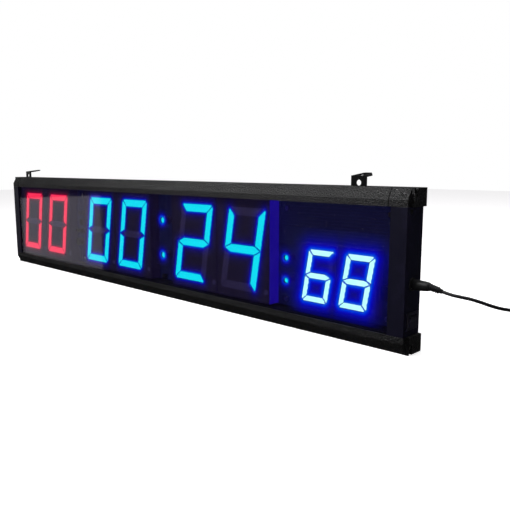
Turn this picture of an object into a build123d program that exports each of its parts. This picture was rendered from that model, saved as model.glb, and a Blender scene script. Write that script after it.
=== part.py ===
from build123d import *
import math
import os

os.makedirs("parts", exist_ok=True)

# Gym round timer. Millimetres, +X along the case, +Y to the rear, +Z up.
# The origin is the centre of the flat face that the case stands on.

# ---- case -------------------------------------------------------------
case_length = 836.8
case_height = 161.2
case_depth = 29.5
bevel_depth = 6.0
bevel_rise = 11.5
border = 18.0
wall = 1.6
lip = 1.5
cap_length = 20.9
cap_ear = 3.3
cap_ear_setback = 5.5
tenon_length = 12.0
end_tenon_length = 7.8
tenon_clearance = 0.15
seam = 0.15

# ---- lens and rear panel ----------------------------------------------
lens_thickness = 3.0
lens_overlap = 5.0
lens_clearance = 0.2
panel_thickness = 1.5
panel_overlap = 9.0
panel_inset = 0.8

# ---- hanging brackets -------------------------------------------------
bracket_width = 18.4
bracket_sheet = 1.5
bracket_plane = 13.0
bracket_rise = 10.5
bracket_foot = 6.0
bracket_reach = 24.0
bracket_tip = 9.0
bracket_tilt = 7.0
bracket_hole_radius = 3.1
bracket_hole_drop = 7.1
bracket_slot_width = 9.0
bracket_slot_length = 13.5
bracket_slot_shift = -2.1
bracket_places = [("bracket_left", -380.0), ("bracket_right", 355.0)]
slot_clearance = 0.35
track_lip = 1.4
track_floor = 1.6

# ---- digit modules ----------------------------------------------------
slant = 10.0
digit_rise = 31.0
segment_depth = 2.0
segment_gap = 0.9
point_radius = 3.4
module_wall = 1.8
board_plane = 22.0
board_thickness = 1.6
board_margin = 1.5
big_digit = dict(width=61.4, height=101.6, bar=10.0, wide=90.0, tall=122.0, face=6.0, drop=0.0)
small_digit = dict(width=34.9, height=58.2, bar=6.0, wide=48.0, tall=70.0, face=10.0, drop=2.4)
digits = [
    ("rounds_tens", big_digit, -354.6, "0"),
    ("rounds_units", big_digit, -264.2, "0"),
    ("minutes_tens", big_digit, -129.2, "0"),
    ("minutes_units", big_digit, -37.8, "0"),
    ("seconds_tens", big_digit, 102.6, "2"),
    ("seconds_units", big_digit, 193.9, "4"),
    ("hundredths_tens", small_digit, 307.0, "6"),
    ("hundredths_units", small_digit, 357.0, "8"),
]
glyphs = {"0": "abcdef", "2": "abged", "4": "fgbc", "6": "acdefg", "8": "abcdefg"}

# ---- colons, receiver, boards -----------------------------------------
led_radius = 5.0
led_length = 8.0
minute_colon = (32.5, [58.0, 107.0])
small_led_radius = 3.5
hundredths_colon = (260.5, [52.0, 78.0])
receiver_x = 21.0
wire_z = 55.0
standoff_radius = 3.0
screw_radius = 1.5
screw_head_radius = 2.8
screw_head_height = 1.7
screw_inset_x = 11.0
screw_inset_z = 8.0

# ---- power switch, inlet and lead -------------------------------------
switch_y = 14.7
switch_z = 33.0
switch_bezel = (20.0, 17.0)
switch_body = (16.4, 13.4)
switch_bezel_height = 1.6
switch_body_depth = 12.0
rocker_clearance = 0.35
rocker_tilt = 8.0
rocker_proud = 1.1
inlet_y = 13.4
inlet_z = 69.0
inlet_radius = 5.0
inlet_depth = 12.0
barrel_radius = 2.7
barrel_clearance = 0.08
lead_diameter = 3.2
lead_droop = 12.0
coil_rows = 4
coil_columns = 2
coil_radius = 18.0

half = case_length / 2
front = -case_depth / 2
rear = case_depth / 2
lens_front = front + lip
lens_rear = lens_front + lens_thickness
panel_rear = rear - panel_inset
panel_front = panel_rear - panel_thickness
board_front = front + board_plane
board_rear = board_front + board_thickness
track_y = front + bracket_plane
inner_half = half - border


def block(x0, x1, y0, y1, z0, z1):
    size = (x1 - x0, y1 - y0, z1 - z0)
    return Pos((x0 + x1) / 2, (y0 + y1) / 2, (z0 + z1) / 2) * Box(*size)


def rod(radius, length, centre, axis="z"):
    turn = {"x": Rot(0, 90, 0), "y": Rot(90, 0, 0), "z": Rot(0, 0, 0)}[axis]
    return Pos(*centre) * turn * Cylinder(radius, length)


def group(shapes):
    return Compound(children=list(shapes))


def save(shape, node):
    export_step(shape, "parts/" + node + ".step")


def flip(shape):
    return mirror(shape, about=Plane.YZ)


# A section is drawn in the Y-Z plane and pushed along X between two ends.
def along_x(points, x0, x1):
    face = make_face(Polyline(*[(0, y, z) for y, z in points], close=True))
    return Pos(x0, 0, 0) * extrude(face, amount=x1 - x0, dir=(1, 0, 0))


def upside_down(shape):
    return Pos(0, 0, case_height) * mirror(shape, about=Plane.XY)


# ---- frame ------------------------------------------------------------
top_z = case_height
bevel_foot = top_z - bevel_rise
border_z = top_z - border
chamber_front = lens_rear + lens_clearance + wall
chamber_rear = panel_front - lens_clearance - wall
chamber_low = border_z + wall
track_roof = top_z - track_lip
track_base = track_roof - bracket_sheet - 2 * slot_clearance
chamber_top = track_base - track_floor
lens_half = inner_half + lens_overlap
lens_low = border - lens_overlap
panel_half = inner_half + panel_overlap
panel_low = border - panel_overlap
profile_half = half - cap_length
foot_front = track_y - bracket_sheet / 2 - bracket_foot - slot_clearance

outline = [
    (front, border_z),
    (front, bevel_foot),
    (front + bevel_depth, top_z),
    (rear, top_z),
    (rear, border_z),
]


def lens_pocket():
    c = lens_clearance
    return block(-lens_half - c, lens_half + c, lens_front - c / 2, lens_rear + c,
                 lens_low - c, case_height - lens_low + c)


def panel_pocket():
    c = lens_clearance
    return block(-panel_half - c, panel_half + c, panel_front, rear + 1,
                 panel_low - c, case_height - panel_low + c)


def make_top_profile():
    body = along_x(outline, -profile_half, profile_half)
    body -= block(-half, half, chamber_front, chamber_rear, chamber_low, chamber_top)
    neck = bracket_sheet / 2 + slot_clearance
    body -= block(-half, half, track_y - neck, track_y + neck, track_base, top_z + 1)
    body -= block(-half, half, foot_front, track_y + neck, track_base, track_roof)
    return body - lens_pocket() - panel_pocket()


def make_bottom_profile():
    body = along_x(outline, -profile_half, profile_half)
    body -= block(-half, half, chamber_front, chamber_rear, chamber_low, chamber_top)
    return upside_down(body) - lens_pocket() - panel_pocket()


def make_end_profile():
    body = block(inner_half, half, front, rear, border + seam, border_z - seam)
    body -= block(inner_half + wall, half - wall, chamber_front, chamber_rear, 0, case_height)
    return body - lens_pocket() - panel_pocket()


def corner_screw_at(y, z):
    x = half + 0.6
    head = rod(2.4, 1.6, (x + 0.8, y, z), "x")
    shank = rod(1.2, 9.0, (x - 4.5, y, z), "x")
    drive = block(x + 1.0, x + 2.0, y - 1.8, y + 1.8, z - 0.3, z + 0.3)
    return head + shank - drive


notch_y = front + 9.5
notch_width = 5.2
notch_depth = 10.5
corner_screw_z = case_height - 7.5


# A corner cap closes the ends of two profiles, with a tongue in each and an
# ear that stands proud of the end.
def make_corner_cap():
    cap = along_x(outline, profile_half + seam, half)
    cap += block(half - 1, half + cap_ear, front + cap_ear_setback, rear, border_z, top_z)
    c = tenon_clearance
    cap += block(profile_half - tenon_length, profile_half + 1, chamber_front + c, chamber_rear - c,
                 chamber_low + c, chamber_top - c)
    cap += block(inner_half + wall + c, half - wall - c, chamber_front + c, chamber_rear - c,
                 border_z - end_tenon_length, border_z + 1)
    slot = block(half + 0.6, half + cap_ear + 1, notch_y - notch_width / 2, notch_y + notch_width / 2,
                 corner_screw_z, top_z + 1)
    slot += rod(notch_width / 2, cap_ear + 0.4, (half + 0.8 + cap_ear / 2, notch_y, corner_screw_z), "x")
    cap -= slot
    cap -= rod(1.2, 30, (half - 8, notch_y, corner_screw_z), "x")
    return cap - lens_pocket() - panel_pocket()


# Small countersunk screws hold each tongue through the side of an end profile.
side_screw_y = notch_y - 1.5
side_screw_z = border_z - end_tenon_length / 2
side_screw_hole = rod(1.2, 12.0, (half - 5.0, side_screw_y, side_screw_z), "x")
side_screw_hole += Pos(half - 0.75, side_screw_y, side_screw_z) * Rot(0, 90, 0) * Cone(1.2, 2.6, 1.5)
side_screw = side_screw_hole - block(0, half - 9.0, front, rear, 0, case_height)
side_screw -= block(half - 0.5, half + 2, side_screw_y - 1.9, side_screw_y + 1.9,
                    side_screw_z - 0.3, side_screw_z + 0.3)
side_screw -= block(half, half + 2, front, rear, 0, case_height)

plain_cap = make_corner_cap()
drilled_cap = plain_cap - side_screw_hole
corner_screw = corner_screw_at(notch_y, corner_screw_z)


def four_corners(shape):
    lower = upside_down(shape)
    return [shape, lower, flip(shape), flip(lower)]


plain_end = make_end_profile() - side_screw_hole
left_end = flip(plain_end - upside_down(side_screw_hole))

# The right end carries the power inlet and the switch, which takes the place of
# its lower side screw. A window in its inner wall lets the wires through.
switch_hole = block(half - 3, half + 1, front + switch_y - switch_body[0] / 2,
                    front + switch_y + switch_body[0] / 2,
                    switch_z - switch_body[1] / 2, switch_z + switch_body[1] / 2)
right_end = plain_end - switch_hole
right_end -= rod(inlet_radius, 4.0, (half, front + inlet_y, inlet_z), "x")
right_end -= block(inner_half - 1, inner_half + wall + 1, -1.0, 6.0, wire_z - 6.0, wire_z + 6.0)

save(make_top_profile(), "top_profile")
save(make_bottom_profile(), "bottom_profile")
save(right_end, "right_end_profile")
save(left_end, "left_end_profile")
save(drilled_cap, "corner_cap_top_right")
save(flip(drilled_cap), "corner_cap_top_left")
save(flip(upside_down(drilled_cap)), "corner_cap_bottom_left")
save(upside_down(plain_cap), "corner_cap_bottom_right")
save(group(four_corners(corner_screw)), "corner_screws")
save(group([side_screw, flip(side_screw), flip(upside_down(side_screw))]), "side_screws")

# ---- lens and rear panel ----------------------------------------------
save(block(-lens_half, lens_half, lens_front, lens_rear, lens_low, case_height - lens_low), "front_lens")

panel_screw_inset = panel_overlap / 2 + border / 2 - 2.0
panel_screw_xs = [-360, -180, 0, 180, 360]
panel_screw_zs = [panel_screw_inset, case_height - panel_screw_inset]
panel_screw_places = [(x, z) for x in panel_screw_xs for z in panel_screw_zs]
rear_panel = block(-panel_half, panel_half, panel_front, panel_rear, panel_low, case_height - panel_low)
panel_screws = []
for x, z in panel_screw_places:
    rear_panel -= rod(1.2, 8, (x, panel_rear, z), "y")
    head = rod(2.5, 0.7, (x, panel_rear + 0.35, z), "y")
    panel_screws.append(head + rod(1.2, panel_thickness, (x, panel_rear - panel_thickness / 2, z), "y"))
save(rear_panel, "rear_panel")
save(group(panel_screws), "rear_panel_screws")


# ---- digit modules ----------------------------------------------------
def digit_span(kind):
    return kind["width"] + kind["height"] * math.tan(math.radians(slant))


def segment_outlines(kind):
    w = kind["width"]
    h = kind["height"]
    t = kind["bar"]
    g = segment_gap
    c = t * 0.3
    m = h / 2
    bar_a = [(c + g, h), (w - c - g, h), (w - c / 2 - g, h - c / 2), (w - t - g / 2, h - t),
             (t + g / 2, h - t), (c / 2 + g, h - c / 2)]
    bar_f = [(0, h - c - g), (0, m + g), (t, m + t / 2 + g), (t, h - t - g / 2), (c / 2, h - c / 2 - g)]
    bar_g = [(g, m), (t + g, m + t / 2), (w - t - g, m + t / 2), (w - g, m),
             (w - t - g, m - t / 2), (t + g, m - t / 2)]
    return {
        "a": bar_a,
        "b": [(w - x, z) for x, z in bar_f],
        "c": [(w - x, h - z) for x, z in bar_f],
        "d": [(x, h - z) for x, z in bar_a],
        "e": [(x, h - z) for x, z in bar_f],
        "f": bar_f,
        "g": bar_g,
    }


def lean(points, kind, centre):
    rise = math.tan(math.radians(slant))
    x0 = centre - digit_span(kind) / 2
    z0 = digit_rise + kind["drop"]
    return [(x0 + x + z * rise, z0 + z) for x, z in points]


def tile(points, y, depth):
    face = make_face(Polyline(*[(x, y, z) for x, z in points], close=True))
    return extrude(face, amount=depth, dir=(0, 1, 0))


def make_digit(kind, centre):
    y = front + kind["face"]
    z_mid = digit_rise + kind["drop"] + kind["height"] / 2
    half_wide = kind["wide"] / 2
    half_tall = kind["tall"] / 2
    shell = block(centre - half_wide, centre + half_wide, y, board_front, z_mid - half_tall, z_mid + half_tall)
    tiles = {}
    for name, points in segment_outlines(kind).items():
        tiles[name] = tile(lean(points, kind, centre), y, segment_depth)
    radius = point_radius * kind["height"] / big_digit["height"]
    x_point = centre + half_wide - radius - 2.0
    z_point = digit_rise + kind["drop"] + radius
    tiles["point"] = rod(radius, segment_depth, (x_point, y + segment_depth / 2, z_point), "y")
    for piece in tiles.values():
        shell -= piece
    shell -= block(centre - half_wide + module_wall, centre + half_wide - module_wall,
                   y + segment_depth + module_wall, board_front + 1,
                   z_mid - half_tall + module_wall, z_mid + half_tall - module_wall)
    return shell, tiles


unlit = {"rounds": [], "clock": [], "hundredths": []}
for name, kind, centre, glyph in digits:
    shell, tiles = make_digit(kind, centre)
    save(shell, name + "_module")
    save(group(tiles[key] for key in glyphs[glyph]), name + "_segments")
    zone = name.split("_")[0]
    if zone not in unlit:
        zone = "clock"
    unlit[zone] += [tiles[key] for key in tiles if key not in glyphs[glyph]]
for zone, tiles in unlit.items():
    save(group(tiles), zone + "_unlit_segments")

# ---- display boards ---------------------------------------------------
board_low = border + board_margin
board_high = case_height - board_low
board_spans = {
    "rounds_board": (-inner_half + board_margin, -213.0),
    "clock_board": (-212.0, 240.5),
    "hundredths_board": (241.5, inner_half - board_margin),
}
standoff_length = panel_front - board_rear
standoffs = []
board_screws = []
for node, (x0, x1) in board_spans.items():
    board = block(x0, x1, board_front, board_rear, board_low, board_high)
    for x in (x0 + screw_inset_x, x1 - screw_inset_x):
        for z in (board_low + screw_inset_z, board_high - screw_inset_z):
            board -= rod(screw_radius, 6, (x, board_front, z), "y")
            post = rod(standoff_radius, standoff_length, (x, board_rear + standoff_length / 2, z), "y")
            standoffs.append(post - rod(screw_radius, 9, (x, board_rear + standoff_length / 2, z), "y"))
            head = rod(screw_head_radius, screw_head_height, (x, board_front - screw_head_height / 2, z), "y")
            shank_length = board_thickness + standoff_length
            shank = rod(screw_radius, shank_length, (x, board_front + shank_length / 2, z), "y")
            board_screws.append(head + shank)
    save(board, node)
save(group(standoffs), "board_standoffs")
save(group(board_screws), "board_screws")


# ---- colons, receiver, control board ----------------------------------
def led(x, z, radius):
    stem = rod(radius, led_length, (x, board_front - led_length / 2, z), "y")
    flange = rod(radius + 0.5, 1.0, (x, board_front - 0.5, z), "y")
    return stem + flange + Pos(x, board_front - led_length, z) * Sphere(radius)


def colon(place, radius):
    x, heights = place
    return group(led(x, z, radius) for z in heights)


save(colon(minute_colon, led_radius), "minute_colon")
save(colon(hundredths_colon, small_led_radius), "hundredths_colon")

receiver = block(receiver_x - 3.2, receiver_x + 3.2, board_front - 4.5, board_front, border + 2.5, border + 10.0)
receiver += Pos(receiver_x, board_front - 4.5, border + 6.2) * Sphere(2.4)
save(receiver, "remote_receiver")

control_x = -203.6
control_rear = board_front - 2.0
control_front = control_rear - board_thickness
control_low = 44.0
control_high = 118.0
control_board = block(control_x - 13.0, control_x + 12.0, control_front, control_rear, control_low, control_high)
pins = block(control_x - 6.0, control_x + 10.0, control_rear, board_front, control_low + 4, control_low + 6)
save(control_board + pins, "control_board")
chips = [
    block(control_x - 5.0, control_x + 5.0, control_front - 1.6, control_front, 84.0, 94.0),
    block(control_x - 8.0, control_x - 3.5, control_front - 1.2, control_front, 100.0, 108.0),
    block(control_x + 2.0, control_x + 6.5, control_front - 1.2, control_front, 100.0, 108.0),
    rod(3.2, 7.0, (control_x - 6.0, control_front - 3.5, 74.0), "y"),
    block(control_x + 1.0, control_x + 9.0, control_front - 4.0, control_front, 70.0, 78.0),
]
save(group(chips), "control_board_parts")
buzzer = rod(6.0, 8.5, (control_x, control_front - 4.25, 56.0), "y")
save(buzzer - rod(1.2, 3.0, (control_x, control_front - 8.5, 56.0), "y"), "buzzer")

# ---- power switch -----------------------------------------------------
bezel_y, bezel_z = switch_bezel
body_y, body_z = switch_body
switch_centre_y = front + switch_y
bezel_face = half + switch_bezel_height
rocker_half_y = body_y / 2 - 1.6
rocker_half_z = body_z / 2 - 1.2
well = 5.0


def switch_block(x0, x1, half_y, half_z):
    return block(x0, x1, switch_centre_y - half_y, switch_centre_y + half_y, switch_z - half_z, switch_z + half_z)


switch_frame = switch_block(half, bezel_face, bezel_y / 2, bezel_z / 2)
switch_frame = fillet(switch_frame.faces().sort_by(Axis.X)[-1].edges(), 0.7)
switch_frame += switch_block(half - switch_body_depth, half + 0.5, body_y / 2, body_z / 2)
switch_frame -= switch_block(half - well, half + 9, rocker_half_y, rocker_half_z)
pivot_x = half - 1.2
pivot_radius = 0.9
for side in (-1, 1):
    y = switch_centre_y + side * (rocker_half_y + 0.4)
    switch_frame -= rod(pivot_radius + 0.05, 1.4, (pivot_x, y, switch_z), "y")
save(switch_frame, "switch_frame")

# The rocker is a shallow V in section and rests with its lower half pressed in.
nose = rocker_half_z - rocker_clearance - 0.25
dip = nose * math.tan(math.radians(rocker_tilt))
face_x = bezel_face + rocker_proud
rocker_points = [
    (pivot_x - 1.8, -nose + 1.2),
    (pivot_x - 1.8, nose - 1.2),
    (pivot_x + 0.6, nose),
    (face_x, nose),
    (face_x - dip, 0),
    (face_x, -nose),
    (pivot_x + 0.6, -nose),
]
rocker_y = switch_centre_y - rocker_half_y + rocker_clearance
rocker_face = make_face(Polyline(*[(x, rocker_y, switch_z + z) for x, z in rocker_points], close=True))
rocker = extrude(rocker_face, amount=2 * (rocker_half_y - rocker_clearance), dir=(0, 1, 0))
trunnion = rod(pivot_radius, 2 * rocker_half_y + 1.0, (pivot_x, switch_centre_y, switch_z), "y")
rocker = Pos(pivot_x, 0, switch_z) * Rot(0, rocker_tilt, 0) * Pos(-pivot_x, 0, -switch_z) * (rocker + trunnion)
save(rocker, "switch_rocker")
print("rocker pivot", round(pivot_x, 3), round(switch_centre_y, 3), switch_z)

terminal_x = half - switch_body_depth
terminals = []
for z in (switch_z - 3.4, switch_z + 3.4):
    terminals.append(block(terminal_x - 3.0, terminal_x, switch_centre_y - 2.2, switch_centre_y + 2.2, z - 0.4, z + 0.4))
save(group(terminals), "switch_terminals")

# ---- power inlet ------------------------------------------------------
inlet_centre_y = front + inlet_y
inlet = rod(inlet_radius, inlet_depth, (half - inlet_depth / 2, inlet_centre_y, inlet_z), "x")
inlet += rod(inlet_radius + 1.4, 1.2, (half + 0.6, inlet_centre_y, inlet_z), "x")
inlet -= rod(barrel_radius + barrel_clearance, 10.0, (half - 3.8, inlet_centre_y, inlet_z), "x")
inlet += rod(1.0, 8.8, (half - 4.4, inlet_centre_y, inlet_z), "x")
save(inlet, "power_inlet")
nut = rod(inlet_radius + 1.9, 2.0, (half - wall - 1.0, inlet_centre_y, inlet_z), "x")
save(nut - rod(inlet_radius, 6.0, (half - wall - 1.0, inlet_centre_y, inlet_z), "x"), "inlet_nut")


# ---- hanging brackets -------------------------------------------------
# Sheet bent twice: a foot in the track, an upright plate and a slotted arm.
def make_bracket(centre):
    s = bracket_sheet
    y0 = track_y - s / 2
    y1 = track_y + s / 2
    foot_low = track_base + slot_clearance
    plate_top = top_z + bracket_rise
    x0 = centre - bracket_width / 2
    x1 = centre + bracket_width / 2
    bracket = block(x0, x1, y0, y1, foot_low, plate_top)
    bracket += block(x0, x1, y0 - bracket_foot, y1, foot_low, foot_low + s)
    bracket -= rod(bracket_hole_radius, 9, (centre, track_y, plate_top - bracket_hole_drop), "y")
    arm_half = bracket_width / 2
    points = [
        (centre - arm_half, 0),
        (centre - arm_half, bracket_reach - 2.0),
        (centre - arm_half + 2.0, bracket_reach),
        (centre + bracket_tip - arm_half, bracket_reach),
        (centre + arm_half, bracket_reach * 0.45),
        (centre + arm_half, 0),
    ]
    arm = extrude(make_face(Polyline(*[(x, y, 0) for x, y in points], close=True)), amount=-s, dir=(0, 0, 1))
    slot_x = centre + bracket_slot_shift
    slot = block(slot_x - bracket_slot_width / 2, slot_x + bracket_slot_width / 2,
                 2.5, 2.5 + bracket_slot_length, -s - 1, 1)
    arm = Pos(0, y0, plate_top) * Rot(bracket_tilt, 0, 0) * (arm - slot)
    return bracket + arm


for node, centre in bracket_places:
    save(make_bracket(centre), node)

# ---- wires inside the case --------------------------------------------
wire_radius = 0.8


def wire(points):
    path = FilletPolyline(*points, radius=2.0)
    return sweep(Plane(origin=path @ 0, z_dir=path % 0) * Circle(wire_radius), path=path)


block_x = inner_half - 6.0
screw_terminal = block(block_x - 10.0, block_x, board_front - 9.0, board_front, wire_z - 7.5, wire_z + 7.5)
save(screw_terminal, "wire_terminal")
inlet_back = half - inlet_depth
wires = [
    wire([(inlet_back, inlet_centre_y + 1.5, inlet_z - 3.0), (inlet_back - 2.8, inlet_centre_y + 1.5, inlet_z - 3.0),
          (inlet_back - 2.8, 1.8, wire_z + 3.5), (block_x, 1.8, wire_z + 3.5)]),
    wire([(inlet_back, inlet_centre_y - 1.5, inlet_z - 3.0), (inlet_back - 2.8, inlet_centre_y - 1.5, inlet_z - 3.0),
          (inlet_back - 2.8, 1.8, wire_z), (block_x, 1.8, wire_z)]),
    wire([(terminal_x - 1.5, switch_centre_y, switch_z + 3.8), (terminal_x - 1.5, switch_centre_y, switch_z + 9.0),
          (terminal_x - 1.5, 1.8, wire_z - 3.5), (block_x, 1.8, wire_z - 3.5)]),
]
save(group(wires), "power_wires")
links = []
for x in (board_spans["rounds_board"][1], board_spans["clock_board"][1]):
    links.append(block(x - 5.0, x + 6.0, board_rear, board_rear + 1.0, 62.0, 98.0))
save(group(links), "board_links")

# ---- lead, coil, tie and adapter --------------------------------------
lead_radius = lead_diameter / 2
plug_face = half + 1.2 + 0.3
plug_body = 17.0
relief = 13.0
plug = rod(5.2, plug_body, (plug_face + plug_body / 2, inlet_centre_y, inlet_z), "x")
plug = chamfer(plug.edges().filter_by(GeomType.CIRCLE), 0.8)
taper = Pos(0, 0, (relief - 1.0) / 2) * Cone(3.9, lead_radius + 0.7, relief + 1.0)
plug += Pos(plug_face + plug_body, inlet_centre_y, inlet_z) * Rot(0, 90 + lead_droop, 0) * taper
barrel = rod(barrel_radius, 9.6, (plug_face - 4.4, inlet_centre_y, inlet_z), "x")
barrel -= rod(1.1, 10.0, (plug_face - 5.0, inlet_centre_y, inlet_z), "x")
save(plug + barrel, "dc_plug")

droop = math.radians(lead_droop)
lead_x = plug_face + plug_body + relief * math.cos(droop)
lead_y = inlet_centre_y
lead_z = inlet_z - relief * math.sin(droop)
first_run = 9.0
floor_z = lead_radius
lead_route = [
    (lead_x, lead_y, lead_z),
    (lead_x + first_run * math.cos(droop), lead_y, lead_z - first_run * math.sin(droop)),
    (lead_x + 17.6, lead_y + 1.5, lead_z - 2.6),
    (lead_x + 25.7, lead_y + 4.3, lead_z - 3.8),
    (lead_x + 32.9, lead_y + 8.9, lead_z - 6.2),
    (lead_x + 38.7, lead_y + 16.0, lead_z - 9.6),
    (lead_x + 43.5, lead_y + 26.0, lead_z - 13.4),
    (lead_x + 47.9, lead_y + 38.6, lead_z - 17.6),
    (500.8, 52.0, 42.5),
    (507.5, 66.0, 35.0),
    (519.5, 76.0, 26.5),
    (533.5, 76.5, 17.5),
    (546.5, 70.5, 8.0),
    (550.6, 60.0, floor_z),
    (550.6, 47.0, floor_z),
]


def corner_radii(points):
    radii = []
    for before, here, after in zip(points, points[1:], points[2:]):
        run_in = Vector(*here) - Vector(*before)
        run_out = Vector(*after) - Vector(*here)
        turn = math.radians(run_in.get_angle(run_out))
        radii.append(0.45 * min(run_in.length, run_out.length) / math.tan(turn / 2))
    return radii


def tube(points, radius):
    radii = corner_radii(points)
    path = FilletPolyline(*points, radius=radii)
    start = Plane(origin=path @ 0, z_dir=path % 0)
    solid = sweep(start * Circle(radius), path=path)
    print("radii", [round(r, 1) for r in radii], "length", round(path.length, 1),
          "volume ratio", round(solid.volume / (math.pi * radius ** 2 * path.length), 4))
    return solid


save(tube(lead_route, lead_radius), "power_lead")

end_x, end_y, end_z = lead_route[-1]
tie_width = 8.0
tie_thickness = 0.6
tie_slack = 0.2
coil_gap = 13.0
coil_reach = coil_columns * lead_radius + tie_slack + tie_thickness
coil_half_height = coil_rows * lead_radius + tie_slack + tie_thickness
coil_x = end_x - coil_radius - (coil_columns - 1) * lead_radius
coil_y = end_y - coil_gap


def coil_ring(shrink):
    reach = coil_reach - shrink
    half_height = coil_half_height - shrink
    centre = (coil_x, coil_y, coil_half_height)
    return rod(coil_radius + reach, 2 * half_height, centre) - rod(coil_radius - reach, 4 * half_height, centre)


# The lead enters the coil on the floor and leaves it in the top row.
tail_z = 2 * coil_half_height - tie_thickness - tie_slack - lead_radius
tail_start = coil_x + coil_gap
tail_y = coil_y + end_x - coil_x
tail_length = 12.0
strap = block(coil_x - coil_radius - 9, coil_x - 5, coil_y - tie_width / 2, coil_y + tie_width / 2, -1, 20)
tie = (coil_ring(0) & strap) - coil_ring(tie_thickness)
corridor = lead_radius + 0.6
coil = coil_ring(0) - tie
coil -= block(end_x - corridor, end_x + 9, end_y, coil_y + 30, -1, 20)
coil -= block(tail_start, coil_x + 30, tail_y - corridor, tail_y + 9, -1, 20)
save(coil, "lead_coil")
save(tie, "lead_tie")

adapter_relief = 14.0
adapter_size = (46.0, 72.0, 29.0)
adapter_x = tail_start + tail_length + adapter_relief
tail = rod(lead_radius, tail_length, (tail_start + tail_length / 2, tail_y, tail_z), "x")
save(tail, "lead_tail")
adapter = block(adapter_x, adapter_x + adapter_size[1], tail_y - adapter_size[0] / 2,
                tail_y + adapter_size[0] / 2, 0, adapter_size[2])
adapter = fillet(adapter.edges().filter_by(Axis.Z), 6.0)
adapter = fillet(adapter.faces().sort_by(Axis.Z)[-1].edges(), 2.5)
relief_cone = Cone(lead_radius + 0.7, 4.0, adapter_relief)
adapter += Pos(adapter_x - adapter_relief / 2, tail_y, tail_z) * Rot(0, 90, 0) * relief_cone
save(adapter, "adapter_body")
blade_x = adapter_x + adapter_size[1]
blades = [block(blade_x, blade_x + 17.0, tail_y + y - 0.75, tail_y + y + 0.75, 11.0, 17.35) for y in (-6.35, 6.35)]
save(group(blades), "adapter_blades")
coil_turns = coil_rows * coil_columns - 0.25
print("lead", round(coil_turns * 2 * math.pi * coil_radius + tail_length, 1), "mm in coil and tail")
print("coil centre", round(coil_x, 2), round(coil_y, 2), "tail", round(tail_z, 2), round(tail_start, 2))
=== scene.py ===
import math
import bpy
import numpy as np
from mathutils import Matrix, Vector
from mathutils.bvhtree import BVHTree


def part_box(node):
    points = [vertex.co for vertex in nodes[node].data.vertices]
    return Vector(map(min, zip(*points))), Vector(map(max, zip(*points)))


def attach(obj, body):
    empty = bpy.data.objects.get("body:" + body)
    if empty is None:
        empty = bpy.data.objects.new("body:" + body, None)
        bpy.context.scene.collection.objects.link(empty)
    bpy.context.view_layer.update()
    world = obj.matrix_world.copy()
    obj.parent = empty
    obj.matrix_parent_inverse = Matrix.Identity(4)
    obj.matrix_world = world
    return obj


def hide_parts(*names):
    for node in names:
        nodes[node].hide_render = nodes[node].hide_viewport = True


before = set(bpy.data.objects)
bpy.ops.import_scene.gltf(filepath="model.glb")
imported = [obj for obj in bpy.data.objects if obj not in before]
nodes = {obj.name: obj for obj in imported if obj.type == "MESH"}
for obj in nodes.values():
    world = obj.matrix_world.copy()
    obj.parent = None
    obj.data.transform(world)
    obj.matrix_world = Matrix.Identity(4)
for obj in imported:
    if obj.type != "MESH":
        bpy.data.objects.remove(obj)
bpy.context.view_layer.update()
mm = 0.001

# ---------- camera first, then the lead ----------
camera = {"place": (0.6994, -0.5058, 0.1805), "turn": 0.772, "down": 0.148, "lens": 41.8, "sensor": 36.0}


def makeCamera(settings):
    data = bpy.data.cameras.new("studioCamera")
    data.lens = settings["lens"]
    data.sensor_width = settings["sensor"]
    data.clip_start = 0.01
    view = bpy.data.objects.new("studioCamera", data)
    view.location = settings["place"]
    view.rotation_euler = (math.pi / 2 - settings["down"], 0, settings["turn"])
    bpy.context.collection.objects.link(view)
    bpy.context.scene.camera = view


makeCamera(camera)
print("camera placed")


# ---------- shader helpers ----------
class Wire:
    def __init__(self, finish, socket):
        self.finish = finish
        self.socket = socket

    def maths(self, operation, first, second):
        made = self.finish.node("ShaderNodeMath", {"operation": operation}, {0: first, 1: second})
        return Wire(self.finish, made.outputs[0])

    def __add__(self, other):
        return self.maths("ADD", self, other)

    def __radd__(self, other):
        return self.maths("ADD", other, self)

    def __sub__(self, other):
        return self.maths("SUBTRACT", self, other)

    def __rsub__(self, other):
        return self.maths("SUBTRACT", other, self)

    def __mul__(self, other):
        return self.maths("MULTIPLY", self, other)

    def __rmul__(self, other):
        return self.maths("MULTIPLY", other, self)

    def __truediv__(self, other):
        return self.maths("DIVIDE", self, other)

    def __rtruediv__(self, other):
        return self.maths("DIVIDE", other, self)

    def __pow__(self, other):
        return self.maths("POWER", self, other)

    def over(self, limit):
        return self.maths("GREATER_THAN", self, limit)

    def under(self, limit):
        return self.maths("LESS_THAN", self, limit)

    def clamp(self):
        made = self.finish.node("ShaderNodeClamp", {}, {0: self})
        return Wire(self.finish, made.outputs[0])


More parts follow.
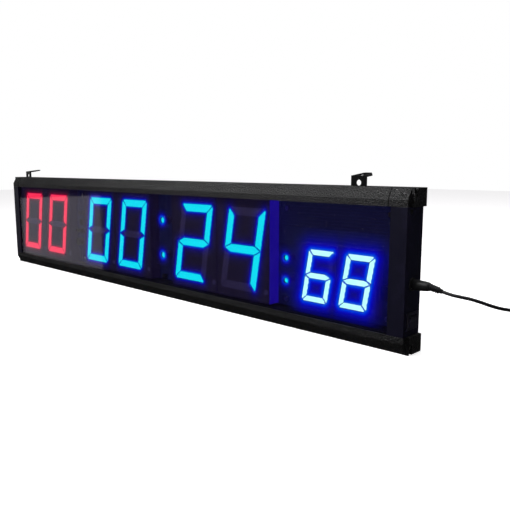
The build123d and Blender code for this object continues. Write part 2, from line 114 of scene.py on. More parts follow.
class Finish:
    def __init__(self, name):
        self.material = bpy.data.materials.new(name)
        self.material.use_nodes = True
        self.tree = self.material.node_tree
        self.tree.nodes.clear()
        self.surface = self.node("ShaderNodeBsdfPrincipled")
        end = self.node("ShaderNodeOutputMaterial")
        self.tree.links.new(self.surface.outputs[0], end.inputs[0])
        self.coordinates = self.node("ShaderNodeTexCoord").outputs["Object"]

    def node(self, kind, settings=None, inputs=None):
        made = self.tree.nodes.new(kind)
        for key, value in (settings or {}).items():
            if key == "stops":
                ramp = made.color_ramp
                while len(ramp.elements) < len(value):
                    ramp.elements.new(0.5)
                for element, (place, colour) in zip(ramp.elements, value):
                    element.position = place
                    element.color = (*colour, 1.0)
            else:
                setattr(made, key, value)
        for key, value in (inputs or {}).items():
            self.feed(made.inputs[key], value)
        return made

    def feed(self, socket, value):
        if isinstance(value, Wire):
            self.tree.links.new(value.socket, socket)
        elif isinstance(value, bpy.types.NodeSocket):
            self.tree.links.new(value, socket)
        elif isinstance(value, (tuple, list)) and len(value) == 3 and socket.type == "RGBA":
            socket.default_value = (*value, 1.0)
        else:
            socket.default_value = value

    def stretched(self, x, y, z):
        made = self.node("ShaderNodeMapping", {}, {"Vector": self.coordinates, "Scale": (x, y, z)})
        return made.outputs[0]

    def noise(self, scale, detail=3.0, roughness=0.5, vector=None):
        made = self.node("ShaderNodeTexNoise", {}, {"Vector": vector or self.coordinates, "Scale": scale,
                                                   "Detail": detail, "Roughness": roughness})
        return Wire(self, made.outputs[0])

    def cells(self, scale, feature="F1", output=0, vector=None):
        made = self.node("ShaderNodeTexVoronoi", {"feature": feature},
                         {"Vector": vector or self.coordinates, "Scale": scale})
        return Wire(self, made.outputs[output])

    def blend(self, amount, first, second):
        made = self.node("ShaderNodeMix", {"data_type": "RGBA"}, {0: amount, 6: first, 7: second})
        return made.outputs[2]

    def ramp(self, amount, *stops):
        return self.node("ShaderNodeValToRGB", {"stops": stops}, {0: amount}).outputs[0]

    def bump(self, height, distance, strength=1.0):
        made = self.node("ShaderNodeBump", {}, {"Height": height, "Distance": distance, "Strength": strength})
        return made.outputs[0]

    def attribute(self, name):
        return Wire(self, self.node("ShaderNodeAttribute", {"attribute_name": name}).outputs["Fac"])

    def set(self, **values):
        sockets = {socket.name.replace(" ", "").lower(): socket for socket in self.surface.inputs}
        for key, value in values.items():
            self.feed(sockets[key.lower()], value)
        return self


# ---------- finishes ----------
def powderCoat(name, light, dark, fleck):
    f = Finish(name)
    grain = f.noise(820, 2.0, 0.6)
    pits = f.cells(640)
    sparkle = f.cells(640, output=0).under(0.2) * grain.over(0.5)
    tone = f.ramp(grain, (0.35, dark), (0.7, light))
    f.set(baseColor=f.blend(sparkle * 0.7, tone, fleck),
          roughness=(0.30 + pits * 0.2 - sparkle * 0.1).clamp(),
          metallic=sparkle * 0.8, specularIorLevel=0.5,
          normal=f.bump(grain * 1.0 + pits * 0.7, 0.0011, 1.0))
    return f.material


def satinCoat(name, colour, rough=0.42):
    f = Finish(name)
    grain = f.noise(2200, 3.0)
    wear = f.noise(38, 4.0, 0.6)
    lifted = tuple(c * 1.9 + 0.002 for c in colour)
    f.set(baseColor=f.blend(wear.over(0.58) * grain * 0.5, colour, lifted),
          roughness=(rough + grain * 0.1 + wear * 0.12 - 0.08).clamp(), specularIorLevel=0.28,
          normal=f.bump(grain, 0.00008, 0.5))
    return f.material


def mouldedPlastic(name, colour, rough=0.5, grainScale=1400, depth=0.00012):
    f = Finish(name)
    grain = f.cells(grainScale)
    cloud = f.noise(60, 3.0)
    f.set(baseColor=f.blend(cloud, colour, tuple(c * 1.35 + 0.001 for c in colour)),
          roughness=(rough + grain * 0.1 + cloud * 0.06).clamp(), normal=f.bump(grain, depth, 0.5))
    return f.material


def metal(name, colour, rough=0.3, stretch=(200, 200, 2600)):
    f = Finish(name)
    brush = f.noise(1.0, 4.0, 0.6, f.stretched(*stretch))
    stain = f.noise(90, 4.0)
    f.set(baseColor=f.blend(stain, colour, tuple(c * 0.72 for c in colour)), metallic=1.0,
          roughness=(rough + brush * 0.16 + stain * 0.08).clamp(), normal=f.bump(brush, 0.00004, 0.4))
    return f.material


def smokedLens(name):
    f = Finish(name)
    dust = f.cells(420).under(0.035) * f.noise(45, 2.0).over(0.5)
    f.set(baseColor=f.blend(dust, (0.004, 0.003, 0.012), (0.25, 0.25, 0.3)), roughness=0.035 + dust * 0.4,
          alpha=0.34 + dust * 0.3, ior=1.49, specularIorLevel=0.42)
    return f.material


def litResin(name, core, edge, strength):
    f = Finish(name)
    cloud = f.noise(160, 2.0)
    f.set(baseColor=(0.02, 0.02, 0.02), roughness=0.4 + cloud * 0.1,
          emissionColor=f.blend(cloud, core, edge), emissionStrength=strength)
    return f.material


# the violet resin is the unlit segments' own colour; the faint emission is painted glow standing in for stray
# LED light in them
def unlitResin(name):
    f = Finish(name)
    cloud = f.noise(220, 3.0)
    f.set(baseColor=f.blend(cloud, (0.055, 0.04, 0.12), (0.08, 0.065, 0.15)), roughness=0.45 + cloud * 0.1,
          normal=f.bump(cloud, 0.0001, 0.3), emissionColor=(0.012, 0.008, 0.05), emissionStrength=0.7)
    return f.material


# the grained near-black resin is the faces' own colour; the faint indigo emission is painted glow standing in
# for LED light spilling through the faces
def moduleFace(name):
    f = Finish(name)
    grain = f.noise(1800, 2.0)
    cloud = f.noise(50, 2.0)
    f.set(baseColor=f.blend(grain, (0.010, 0.008, 0.02), (0.018, 0.014, 0.034)),
          roughness=(0.55 + grain * 0.2).clamp(), normal=f.bump(grain, 0.00006, 0.4),
          emissionColor=f.blend(cloud, (0.006, 0.003, 0.022), (0.010, 0.005, 0.032)), emissionStrength=0.8)
    return f.material


def glowFinish(name, colour, core):
    f = Finish(name)
    near = f.attribute("near")
    wide = f.attribute("wide")
    cloud = f.noise(90, 2.0)
    f.set(baseColor=(0.0, 0.0, 0.0), roughness=0.6, specularIorLevel=0.0,
          alpha=(near + wide * (0.9 + cloud * 0.2)).clamp(),
          emissionColor=f.blend(near ** 3.0, colour, core), emissionStrength=1.5)
    return f.material


# painted light: this emission stands in for the blue light of the small digits falling on the side wall of
# the last large module
def sideLight(name):
    f = Finish(name)
    cloud = f.noise(60, 3.0)
    f.set(baseColor=(0.01, 0.01, 0.05), roughness=0.5 + cloud * 0.1,
          emissionColor=f.blend(cloud, (0.01, 0.0, 0.36), (0.02, 0.005, 0.55)), emissionStrength=1.0)
    return f.material


# the blue mask and brick lanes are the boards' own colour; the faint blue emission is painted glow standing
# in for stray LED light on them
def circuitBoard(name):
    f = Finish(name)
    upright = f.node("ShaderNodeMapping", {}, {"Vector": f.coordinates, "Rotation": (math.pi / 2, 0, 0)})
    lanes = f.node("ShaderNodeTexBrick", {"offset": 0.37},
                   {"Vector": upright.outputs[0],
                    "Scale": 120.0, "Mortar Size": 0.05, "Brick Width": 1.6, "Row Height": 0.42})
    line = Wire(f, lanes.outputs["Fac"])
    grain = f.noise(500, 2.0)
    f.set(baseColor=f.blend(line * 0.8, (0.006, 0.012, 0.05), (0.02, 0.035, 0.12)),
          roughness=0.35 + grain * 0.15 + line * 0.1, normal=f.bump(line, 0.00008, 0.5),
          emissionColor=(0.003, 0.003, 0.03), emissionStrength=1.0)
    return f.material


finishes = {
    "powder": powderCoat("blackPowderCoat", (0.010, 0.010, 0.011), (0.0025, 0.0025, 0.003),
                         (0.25, 0.25, 0.26)),
    "satin": satinCoat("endProfileSatin", (0.0028, 0.0022, 0.014), 0.45),
    "panel": satinCoat("rearPanelPaint", (0.02, 0.02, 0.021), 0.5),
    "bracket": satinCoat("bracketBlack", (0.003, 0.003, 0.0035), 0.38),
    "darkScrew": metal("blackOxideScrew", (0.12, 0.12, 0.125), 0.32),
    "brightScrew": metal("zincScrew", (0.62, 0.62, 0.60), 0.26),
    "brass": metal("turnedBrass", (0.68, 0.50, 0.20), 0.28),
    "nickel": metal("nickelPlate", (0.70, 0.69, 0.66), 0.22),
    "lens": smokedLens("smokedAcrylic"),
    "red": litResin("redResinLit", (1.0, 0.015, 0.07), (1.0, 0.03, 0.11), 2.2),
    "cyan": litResin("cyanResinLit", (0.0, 0.78, 1.0), (0.0, 0.88, 1.0), 2.0),
    "ice": litResin("smallResinLit", (0.35, 0.95, 1.0), (0.6, 1.0, 1.0), 2.6),
    "unlit": unlitResin("resinUnlitPaintedGlow"),
    "module": moduleFace("moduleFaceBlackPaintedGlow"),
    "chip": mouldedPlastic("chipGrey", (0.10, 0.09, 0.12), 0.4),
    "shadow": satinCoat("seamShadow", (0.0008, 0.0008, 0.0008), 0.8),
    "sideGlow": sideLight("moduleSidePaintedSpill"),
    "redGlow": glowFinish("redGlow", (0.5, 0.0, 0.06), (1.0, 0.02, 0.1)),
    "blueGlow": glowFinish("blueGlow", (0.0, 0.0, 1.0), (0.0, 0.25, 1.0)),
    "board": circuitBoard("maskedBoardPaintedGlow"),
    "part": mouldedPlastic("componentBlack", (0.008, 0.008, 0.009), 0.45),
    "switch": mouldedPlastic("switchBlack", (0.006, 0.005, 0.012), 0.28, 2600, 0.00004),
    "lead": mouldedPlastic("leadCover", (0.004, 0.004, 0.005), 0.4, 3000, 0.00005),
    "adapter": mouldedPlastic("adapterShell", (0.016, 0.016, 0.017), 0.5, 900),
    "wire": mouldedPlastic("wireCover", (0.25, 0.012, 0.012), 0.38, 3000, 0.00003),
}
print("finishes made:", len(finishes))

finishOf = {
    "powder": ["top_profile", "bottom_profile", "corner_cap_top_left", "corner_cap_top_right",
               "corner_cap_bottom_left", "corner_cap_bottom_right"],
    "satin": ["left_end_profile", "right_end_profile"],
    "panel": ["rear_panel"],
    "bracket": ["bracket_left", "bracket_right"],
    "darkScrew": ["side_screws", "rear_panel_screws"],
    "brightScrew": ["board_screws", "corner_screws"],
    "brass": ["board_standoffs", "inlet_nut"],
    "nickel": ["switch_terminals", "adapter_blades"],
    "lens": ["front_lens"],
    "red": ["rounds_tens_segments", "rounds_units_segments"],
    "cyan": ["minutes_tens_segments", "minutes_units_segments", "seconds_tens_segments",
             "seconds_units_segments", "minute_colon", "hundredths_colon"],
    "ice": ["hundredths_tens_segments", "hundredths_units_segments"],
    "unlit": ["rounds_unlit_segments", "clock_unlit_segments", "hundredths_unlit_segments"],
    "board": ["rounds_board", "clock_board", "hundredths_board", "control_board"],
    "part": ["control_board_parts", "buzzer", "remote_receiver", "wire_terminal", "board_links",
             "power_inlet"],
    "switch": ["switch_frame", "switch_rocker"],
    "lead": ["lead_tie"],
    "adapter": ["adapter_body"],
    "wire": ["power_wires"],
    "module": [name for name in nodes if name.endswith("_module")],
}


def dress(thing, material):
    thing.data.materials.clear()
    thing.data.materials.append(material)


for finishName, names in finishOf.items():
    for name in names:
        dress(nodes[name], finishes[finishName])


# ---------- power lead: the route, the coil's turns and the tail ----------
lead = {"diameter": 3.2, "turns": 7.75, "perTurn": 16, "coilCentre": (531.0, 34.0), "coilRadius": 18.0,
        "lowRow": 2.4, "tailEnd": (556.0, 53.6, 12.0), "length": 1.06}
leadRoute = [(449.616, -1.35, 66.297), (458.419, -1.35, 64.426), (467.216, 0.15, 63.697),
             (475.316, 2.95, 62.497), (482.516, 7.55, 60.097), (488.316, 14.65, 56.697),
             (493.116, 24.65, 53.2), (497.516, 37.25, 50.2), (500.8, 52.0, 46.5), (507.5, 66.0, 37.5),
             (519.5, 76.0, 26.5), (533.5, 76.5, 17.5), (546.5, 70.5, 8.0), (550.6, 60.0, 1.6),
             (550.6, 47.0, 1.6)]


def smooth(t):
    t = min(1.0, max(0.0, t))
    return t * t * (3 - 2 * t)


def coilPoints(settings):
    d = settings["diameter"]
    rows = [(1, 0), (-1, 0), (-1, 1), (1, 1), (1, 2), (-1, 2), (-1, 3), (1, 3)]
    cx, cy = settings["coilCentre"]
    points = []
    for i in range(1, int(settings["turns"] * settings["perTurn"]) + 1):
        turn = i / settings["perTurn"]
        here = int(turn)
        step = smooth((turn - here - 0.70) / 0.28) if here + 1 < len(rows) else 0.0
        side = rows[here][0] * (1 - step) + rows[min(here + 1, 7)][0] * step
        row = rows[here][1] * (1 - step) + rows[min(here + 1, 7)][1] * step
        radius = settings["coilRadius"] + side * d / 2
        lift = settings["lowRow"] - 0.8 * (1 - smooth(turn / 0.3)) + row * d
        angle = -2 * math.pi * turn
        points.append((cx + radius * math.cos(angle), cy + radius * math.sin(angle), lift))
    return points


def makeLead(settings):
    x, y, z = settings["tailEnd"]
    route = leadRoute + coilPoints(settings)
    route += [(x - back, y, z) for back in (18.0, 12.0, 6.0, 0.0)]
    route = [(px * mm, py * mm, pz * mm) for px, py, pz in route]
    data = bpy.data.curves.new("powerLead", "CURVE")
    data.dimensions = "3D"
    data.resolution_u = 6
    data.bevel_depth = settings["diameter"] * mm / 2
    data.bevel_resolution = 4
    spline = data.splines.new("NURBS")
    spline.points.add(len(route) - 1)
    for point, place in zip(spline.points, route):
        point.co = (*place, 1.0)
    spline.order_u = 3
    spline.use_endpoint_u = True
    made = bpy.data.objects.new("powerLead", data)
    bpy.context.collection.objects.link(made)
    data.materials.append(finishes["lead"])
    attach(made, "case")
    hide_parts("power_lead", "lead_coil", "lead_tail")
    return made




# ---------- small meshes shared by the pieces below ----------
def newPiece(name, vertices, faces, material, body="case", smoothFaces=False):
    mesh = bpy.data.meshes.new(name)
    mesh.from_pydata([tuple(c * mm for c in vertex) for vertex in vertices], [], faces)
    for material in (material if isinstance(material, list) else [material]):
        mesh.materials.append(material)
    mesh.polygons.foreach_set("use_smooth", [smoothFaces] * len(mesh.polygons))
    made = bpy.data.objects.new(name, mesh)
    bpy.context.collection.objects.link(made)
    if body:
        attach(made, body)
    return made


def turned(profile, count=40):
    vertices = [(math.cos(2 * math.pi * i / count) * r, math.sin(2 * math.pi * i / count) * r, h)
                for r, h in profile for i in range(count)]
    faces = [(j * count + i, j * count + (i + 1) % count,
              (j + 1) * count + (i + 1) % count, (j + 1) * count + i)
             for j in range(len(profile) - 1) for i in range(count)]
    faces += [tuple(reversed(range(count))), tuple(range(len(vertices) - count, len(vertices)))]
    return vertices, faces


# ---------- geometry nodes: one shape repeated at marked places ----------
def repeatTree():
    tree = bpy.data.node_groups.new("repeatShape", "GeometryNodeTree")
    face = tree.interface
    face.new_socket("Geometry", in_out="INPUT", socket_type="NodeSocketGeometry")
    for label, kind in (("Shape", "Object"), ("Finish", "Material"), ("Spread", "Float"), ("Seed", "Int")):
        face.new_socket(label, in_out="INPUT", socket_type="NodeSocket" + kind)
    face.new_socket("Geometry", in_out="OUTPUT", socket_type="NodeSocketGeometry")

    def add(kind, **values):
        made = tree.nodes.new(kind)
        for key, value in values.items():
            setattr(made, key, value)
        return made

    start = add("NodeGroupInput")
    end = add("NodeGroupOutput")
    source = add("GeometryNodeObjectInfo", transform_space="ORIGINAL")
    turn = add("GeometryNodeInputNamedAttribute", data_type="FLOAT_VECTOR")
    turn.inputs["Name"].default_value = "turn"
    size = add("GeometryNodeInputNamedAttribute", data_type="FLOAT_VECTOR")
    size.inputs["Name"].default_value = "size"
    change = add("FunctionNodeRandomValue", data_type="FLOAT")
    less = add("ShaderNodeMath", operation="SUBTRACT")
    less.inputs[0].default_value = 1.0
    scaled = add("ShaderNodeVectorMath", operation="SCALE")
    place = add("GeometryNodeInstanceOnPoints")
    real = add("GeometryNodeRealizeInstances")
    paint = add("GeometryNodeSetMaterial")
    link = tree.links.new
    link(start.outputs["Shape"], source.inputs["Object"])
    link(start.outputs["Spread"], less.inputs[1])
    link(less.outputs[0], change.inputs[2])
    change.inputs[3].default_value = 1.0
    link(start.outputs["Seed"], change.inputs["Seed"])
    link(size.outputs["Attribute"], scaled.inputs[0])
    link(change.outputs[1], scaled.inputs["Scale"])
    link(start.outputs["Geometry"], place.inputs["Points"])
    link(source.outputs["Geometry"], place.inputs["Instance"])
    link(turn.outputs["Attribute"], place.inputs["Rotation"])
    link(scaled.outputs[0], place.inputs["Scale"])
    link(place.outputs[0], real.inputs[0])
    link(real.outputs[0], paint.inputs[0])
    link(start.outputs["Finish"], paint.inputs["Material"])
    link(paint.outputs[0], end.inputs[0])
    return tree


repeatNodes = repeatTree()


def repeatShape(name, places, shape, material, spread=0.0, seed=1):
    mesh = bpy.data.meshes.new(name + "Points")
    mesh.from_pydata([tuple(c * mm for c in place[0]) for place in places], [], [])
    for label, part in (("turn", 1), ("size", 2)):
        layer = mesh.attributes.new(label, "FLOAT_VECTOR", "POINT")
        layer.data.foreach_set("vector", [c for place in places for c in place[part]])
    points = bpy.data.objects.new(name + "Points", mesh)
    bpy.context.collection.objects.link(points)
    modifier = points.modifiers.new("repeat", "NODES")
    modifier.node_group = repeatNodes
    sockets = {item.name: item.identifier for item in repeatNodes.interface.items_tree
               if item.in_out == "INPUT"}
    modifier[sockets["Shape"]] = shape
    modifier[sockets["Finish"]] = material
    modifier[sockets["Spread"]] = spread
    modifier[sockets["Seed"]] = seed
    bpy.context.view_layer.update()
    baked = bpy.data.meshes.new_from_object(points.evaluated_get(bpy.context.evaluated_depsgraph_get()))
    baked.name = name
    made = bpy.data.objects.new(name, baked)
    bpy.context.collection.objects.link(made)
    bpy.data.objects.remove(points)
    bpy.data.objects.remove(shape)
    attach(made, "case")
    return made


def chipShape(name, x, y, z, bevel):
    vertices = []
    for level, inset in ((0, 0), (z - bevel, 0), (z, bevel)):
        vertices += [(sx * (x / 2 - inset), -level, sz * (y / 2 - inset))
                     for sx, sz in ((-1, -1), (1, -1), (1, 1), (-1, 1))]
    faces = [(4 * j + i, 4 * j + (i + 1) % 4, 4 * j + 4 + (i + 1) % 4, 4 * j + 4 + i)
             for j in (0, 1) for i in range(4)]
    faces += [(3, 2, 1, 0), (8, 9, 10, 11)]
    return newPiece(name, vertices, faces, finishes["part"], body=None)


boardParts = {"clock_board": 46, "hundredths_board": 34, "rounds_board": 30}


def makeBoardParts(settings):
    random = np.random.default_rng(7)
    modules = [[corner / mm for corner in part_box(name)] for name in finishOf["module"]]
    for number, (board, count) in enumerate(settings.items()):
        low, high = (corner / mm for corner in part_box(board))
        places = []
        for attempt in range(count * 40):
            if len(places) == count:
                break
            x = random.uniform(low.x + 4, high.x - 4)
            z = random.uniform(low.z + 4, high.z - 4)
            if all(x < a.x - 3 or x > b.x + 3 or z < a.z - 3 or z > b.z + 3 for a, b in modules):
                turned90 = random.integers(0, 2) * math.pi / 2
                places.append(((x, low.y, z), (0.0, turned90, 0.0), (1.0, 1.0, 1.0)))
        print(board, "chips", len(places))
        if not places:
            continue
        shape = chipShape("chip", 2.0, 1.25, 0.6, 0.12)
        repeatShape(board.replace("_b", "B") + "Chips", places, shape, finishes["chip"],
                    0.35, number + 3)


makeBoardParts(boardParts)
print("board parts made")

# ---------- power plug: tapered body and ridged relief ----------
plug = {"face": 419.9, "y": -1.35, "z": 69.0, "body": 17.0, "relief": 13.0, "droop": math.radians(12),
        "ridges": 5, "ridgeStep": 1.9, "barrel": 2.75}


def makePlug(settings):
    bodyProfile = [(3.4, 0.0), (4.9, 0.05), (5.15, 0.5), (5.2, 3.0), (5.1, 8.0), (4.7, 13.0), (4.3, 16.0),
                   (4.0, 17.0)]
    reliefProfile = [(3.9, -1.5), (3.5, 0.4), (2.9, 1.0), (2.75, 9.6), (2.3, 10.4), (2.1, 13.0), (1.4, 13.05)]
    vertices, faces = turned(bodyProfile)
    vertices = [(settings["face"] + h, settings["y"] + x, settings["z"] + y) for x, y, h in vertices]
    more, extra = turned(reliefProfile)
    cos, sin = math.cos(settings["droop"]), math.sin(settings["droop"])
    baseX = settings["face"] + settings["body"]

    def onRelief(x, y, h):
        return (baseX + h * cos + y * sin, settings["y"] + x, settings["z"] - h * sin + y * cos)

    faces += [tuple(len(vertices) + i for i in face) for face in extra]
    vertices += [onRelief(*vertex) for vertex in more]
    barrel, sides = turned([(2.2, 0.0), (settings["barrel"], 0.3), (settings["barrel"], 9.6)], 28)
    faces += [tuple(len(vertices) + i for i in face) for face in sides]
    vertices += [(settings["face"] - 9.4 + h, settings["y"] + x, settings["z"] + y) for x, y, h in barrel]
    made = newPiece("plugBody", vertices, faces, finishes["lead"], smoothFaces=True)
    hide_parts("dc_plug")
    ring, sides = turned([(2.6, -0.6), (3.35, -0.45), (3.5, 0.0), (3.35, 0.45), (2.6, 0.6)], 32)
    shape = newPiece("ridge", ring, sides, finishes["lead"], body=None, smoothFaces=True)
    places = [(onRelief(0, 0, 1.6 + i * settings["ridgeStep"]), (0.0, math.pi / 2 + settings["droop"], 0.0),
               (1 - 0.02 * i,) * 3) for i in range(settings["ridges"])]
    repeatShape("plugRidges", places, shape, finishes["lead"])


makePlug(plug)
print("plug made")
makeLead(lead)
print("lead laid")

# ---------- colon lamps: black barrel with a lit dome ----------
lamps = [{"node": "minute_colon", "radius": 3.9, "finish": "cyan"},
         {"node": "hundredths_colon", "radius": 2.7, "finish": "cyan"}]


def makeLamps(settings):
    low, high = (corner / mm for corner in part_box(settings["node"]))
    outer = (high.x - low.x) / 2
    r = settings["radius"]
    centres = [low.z + outer, high.z - outer]
    vertices = []
    faces = []
    depth = high.y - low.y
    dome = [(r * math.cos(a), depth - 1.2 + 1.1 * math.sin(a)) for a in (0.0, 0.3, 0.6, 0.9, 1.2, 1.5)]
    profile = [(outer, 0.0), (outer, depth - 1.5), (outer - 0.6, depth - 1.0), (r + 0.2, depth - 1.4)] + dome
    lit = []
    for z in centres:
        shape, sides = turned(profile)
        base = len(vertices)
        vertices += [(low.x + outer + x, high.y - h, z + y) for x, y, h in shape]
        faces += [tuple(base + i for i in side) for side in sides]
        lit += [1 if min(i for i in side) >= 3 * 40 else 0 for side in sides]
    made = newPiece(settings["node"] + "Lamps", vertices, faces,
                    [finishes["module"], finishes[settings["finish"]]],
                    smoothFaces=True)
    made.data.polygons.foreach_set("material_index", lit)
    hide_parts(settings["node"])


for settings in lamps:
    makeLamps(settings)
print("colon lamps made")

# ---------- painted shadow lines on the corner-cap seams and painted light on the side of the last large module ---
seams = {"places": (-397.5, 397.5), "half": 0.5, "lift": 0.07,
         "outline": [(-7.5, 161.2), (-8.75, 161.2), (-14.75, 149.7), (-14.75, 143.4)]}


# painted shadow: a thin near-black strip over each top corner-cap seam stands in for the shade in the joint
def makeSeamShadow(settings, x):
    half, lift = settings["half"], settings["lift"]
    outline = [(y - lift, z + lift) for y, z in settings["outline"]]
    vertices = [(x + side, y, z) for y, z in outline for side in (-half, half)]
    faces = [(2 * i + 2, 2 * i + 3, 2 * i + 1, 2 * i) for i in range(len(outline) - 1)]
    newPiece("capSeamTop" + ("Left" if x < 0 else "Right"), vertices, faces,
             finishes["shadow"])


for x in seams["places"]:
    makeSeamShadow(seams, x)

sideWall = {"node": "seconds_units_module", "lift": 0.15}


# painted light: a thin sheet on the module's right side wall carries the painted blue light of the small
# digits
def makeSideWall(settings):
    low, high = (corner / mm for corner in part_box(settings["node"]))
    x = high.x + settings["lift"]
    rows = 24
    vertices = [(x, low.y + (high.y - low.y) * j / 4, low.z + (high.z - low.z) * i / rows)
                for i in range(rows + 1) for j in range(5)]
    faces = [(5 * i + j, 5 * i + j + 1, 5 * i + j + 6, 5 * i + j + 5) for i in range(rows) for j in range(4)]
    newPiece("moduleSideLight", vertices, faces, finishes["sideGlow"])


makeSideWall(sideWall)
print("seams and side light made")

# ---------- glow round the lit segments ----------
glows = [
    {"name": "roundsGlow", "lit": ["rounds_tens_segments", "rounds_units_segments"], "finish": "redGlow",
     "margin": 12, "near": 1.5, "nearAmount": 0.55, "wide": 9.0, "wideAmount": 0.07},
    {"name": "minutesGlow", "lit": ["minutes_tens_segments", "minutes_units_segments"], "finish": "blueGlow",
     "margin": 14, "near": 1.7, "nearAmount": 0.9, "wide": 10.0, "wideAmount": 0.10},
    {"name": "secondsGlow", "lit": ["seconds_tens_segments", "seconds_units_segments"], "finish": "blueGlow",
     "margin": 14, "near": 1.7, "nearAmount": 0.9, "wide": 10.0, "wideAmount": 0.12},
    {"name": "colonGlow", "lit": ["minute_colon"], "finish": "blueGlow", "inset": 0.9,
     "margin": 10, "near": 1.6, "nearAmount": 0.9, "wide": 6.0, "wideAmount": 0.2},
    {"name": "hundredthsGlow", "lit": ["hundredths_tens_segments", "hundredths_units_segments"],
     "finish": "blueGlow", "margin": 24, "near": 3.4, "nearAmount": 0.95, "wide": 13.0, "wideAmount": 0.62},
    {"name": "pointsGlow", "lit": ["hundredths_colon"], "finish": "blueGlow", "inset": 0.9,
     "margin": 12, "near": 1.4, "nearAmount": 0.9, "wide": 7.0, "wideAmount": 0.22},
]


def nearestTree(names):
    vertices = []
    faces = []
    for name in names:
        mesh = (bpy.data.objects.get(name + "Lamps") or nodes[name]).data
        base = len(vertices)
        vertices += [vertex.co.copy() for vertex in mesh.vertices]
        faces += [[base + i for i in polygon.vertices] for polygon in mesh.polygons]
    return BVHTree.FromPolygons(vertices, faces)


def gridMesh(name, lowX, highX, lowZ, highZ, y, step):
    across = int((highX - lowX) / step)
    up = int((highZ - lowZ) / step)
    vertices = [((lowX + (highX - lowX) * i / across) * mm, y * mm, (lowZ + (highZ - lowZ) * j / up) * mm)
                for j in range(up + 1) for i in range(across + 1)]
    faces = [(j * (across + 1) + i, j * (across + 1) + i + 1, (j + 1) * (across + 1) + i + 1,
              (j + 1) * (across + 1) + i) for j in range(up) for i in range(across)]
    mesh = bpy.data.meshes.new(name)
    mesh.from_pydata(vertices, [], faces)
    return mesh


def makeGlow(settings, step=1.1, lift=0.5, cover=0.62):
    corners = [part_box(name) for name in settings["lit"]]
    low = [min(corner[0][axis] for corner in corners) / mm for axis in range(3)]
    high = [max(corner[1][axis] for corner in corners) / mm for axis in range(3)]
    margin = settings["margin"]
    y = low[1] - lift
    mesh = gridMesh(settings["name"], low[0] - margin, high[0] + margin, max(low[2] - margin, 19.0),
                    min(high[2] + margin, 142.0), y, step)
    tree = nearestTree(settings["lit"])
    behind = lift + settings.get("inset", 0.0)
    distances = [max(0.0, tree.find_nearest(vertex.co)[3] / mm - behind) for vertex in mesh.vertices]
    edge = [min(1.0, (margin + 2 - d) / margin) if d < margin + 2 else 0.0 for d in distances]
    near = [0.0 if d < 0.02 else settings["nearAmount"] * math.exp(-d / settings["near"]) for d in distances]
    wide = [0.0 if d < 0.02 else settings["wideAmount"] * math.exp(-d / settings["wide"]) * fade
            for d, fade in zip(distances, edge)]
    for label, values in (("near", near), ("wide", wide)):
        mesh.attributes.new(label, "FLOAT", "POINT").data.foreach_set("value", values)
    made = bpy.data.objects.new(settings["name"], mesh)
    bpy.context.collection.objects.link(made)
    dress(made, finishes[settings["finish"]])
    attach(made, "case")


for settings in glows:
    makeGlow(settings)
print("glow made")

# ---------- studio ----------
studio = {"floorSize": 8.0, "floorTone": (0.95, 0.94, 0.95), "floorLift": 0.62, "seen": 1.0, "spread": 0.36,
          "gloss": 0.02}
card = {"x": -1.7, "near": -0.60, "far": -0.97, "low": -0.30, "high": 0.052, "tone": (1.35, 1.28, 1.36)}


def stagePlane(name, corners, material):
    mesh = bpy.data.meshes.new(name)
    mesh.from_pydata(corners, [], [(0, 1, 2, 3)])
    made = bpy.data.objects.new(name, mesh)
    bpy.context.collection.objects.link(made)
    mesh.materials.append(material)
    return made


def makeFloor(settings):
    half = settings["floorSize"] / 2
    f = Finish("studioFloorPaper")
    seen = Wire(f, f.node("ShaderNodeLightPath").outputs["Is Camera Ray"])
    f.set(baseColor=settings["floorTone"], roughness=0.5, specularIorLevel=0.3,
          emissionColor=settings["floorTone"], emissionStrength=seen * settings["floorLift"])
    corners = [(-half, -half, 0), (half, -half, 0), (half, half, 0), (-half, half, 0)]
    floor = stagePlane("studioFloor", corners, f.material)
    floor.visible_glossy = False


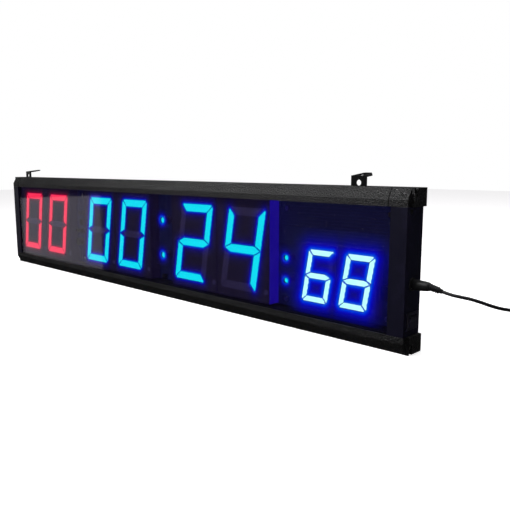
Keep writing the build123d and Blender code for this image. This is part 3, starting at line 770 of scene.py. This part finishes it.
def makeCard(settings):
    f = Finish("reflectedCard")
    f.set(baseColor=(0, 0, 0), emissionColor=settings["tone"], emissionStrength=1.0)
    x, near, far, low, high = (settings[key] for key in ("x", "near", "far", "low", "high"))
    corners = [(x, near, low), (x, far, low), (x, far, high), (x, near, high)]
    made = stagePlane("reflectedCard", corners, f.material)
    made.visible_camera = False
    made.visible_diffuse = False
    made.visible_shadow = False


def makeWorld(settings):
    world = bpy.data.worlds.new("studioWorld")
    bpy.context.scene.world = world
    world.use_nodes = True
    tree = world.node_tree
    tree.nodes.clear()
    path = tree.nodes.new("ShaderNodeLightPath")
    end = tree.nodes.new("ShaderNodeOutputWorld")
    shades = {}
    for key in ("seen", "spread", "gloss"):
        shades[key] = tree.nodes.new("ShaderNodeBackground")
        shades[key].inputs[0].default_value = (1, 1, 1, 1)
        shades[key].inputs[1].default_value = settings[key]
    first = tree.nodes.new("ShaderNodeMixShader")
    second = tree.nodes.new("ShaderNodeMixShader")
    tree.links.new(path.outputs["Is Glossy Ray"], first.inputs[0])
    tree.links.new(shades["spread"].outputs[0], first.inputs[1])
    tree.links.new(shades["gloss"].outputs[0], first.inputs[2])
    tree.links.new(path.outputs["Is Camera Ray"], second.inputs[0])
    tree.links.new(first.outputs[0], second.inputs[1])
    tree.links.new(shades["seen"].outputs[0], second.inputs[2])
    tree.links.new(second.outputs[0], end.inputs[0])


def addLight(name, place, aim, size, power, colour=(1, 1, 1)):
    data = bpy.data.lights.new(name, "AREA")
    data.shape = "RECTANGLE"
    data.size, data.size_y = size
    data.energy = power
    data.color = colour
    light = bpy.data.objects.new(name, data)
    light.location = place
    light.rotation_euler = (Vector(aim) - Vector(place)).to_track_quat("-Z", "Y").to_euler()
    bpy.context.collection.objects.link(light)


makeFloor(studio)
makeCard(card)
makeWorld(studio)
addLight("keySoftbox", (-0.10, -0.46, 0.80), (0.38, 0.0, 0.16), (0.30, 0.22), 7.0)
addLight("overheadSoftbox", (0.2, 0.6, 2.2), (0.1, 0.1, 0.0), (2.4, 1.6), 24.0)
addLight("lowSideSoftbox", (-1.9, -0.80, 0.42), (-0.3, 0.0, 0.14), (0.4, 0.20), 1.6)
bpy.context.scene.view_settings.view_transform = "Standard"
print("studio lit")
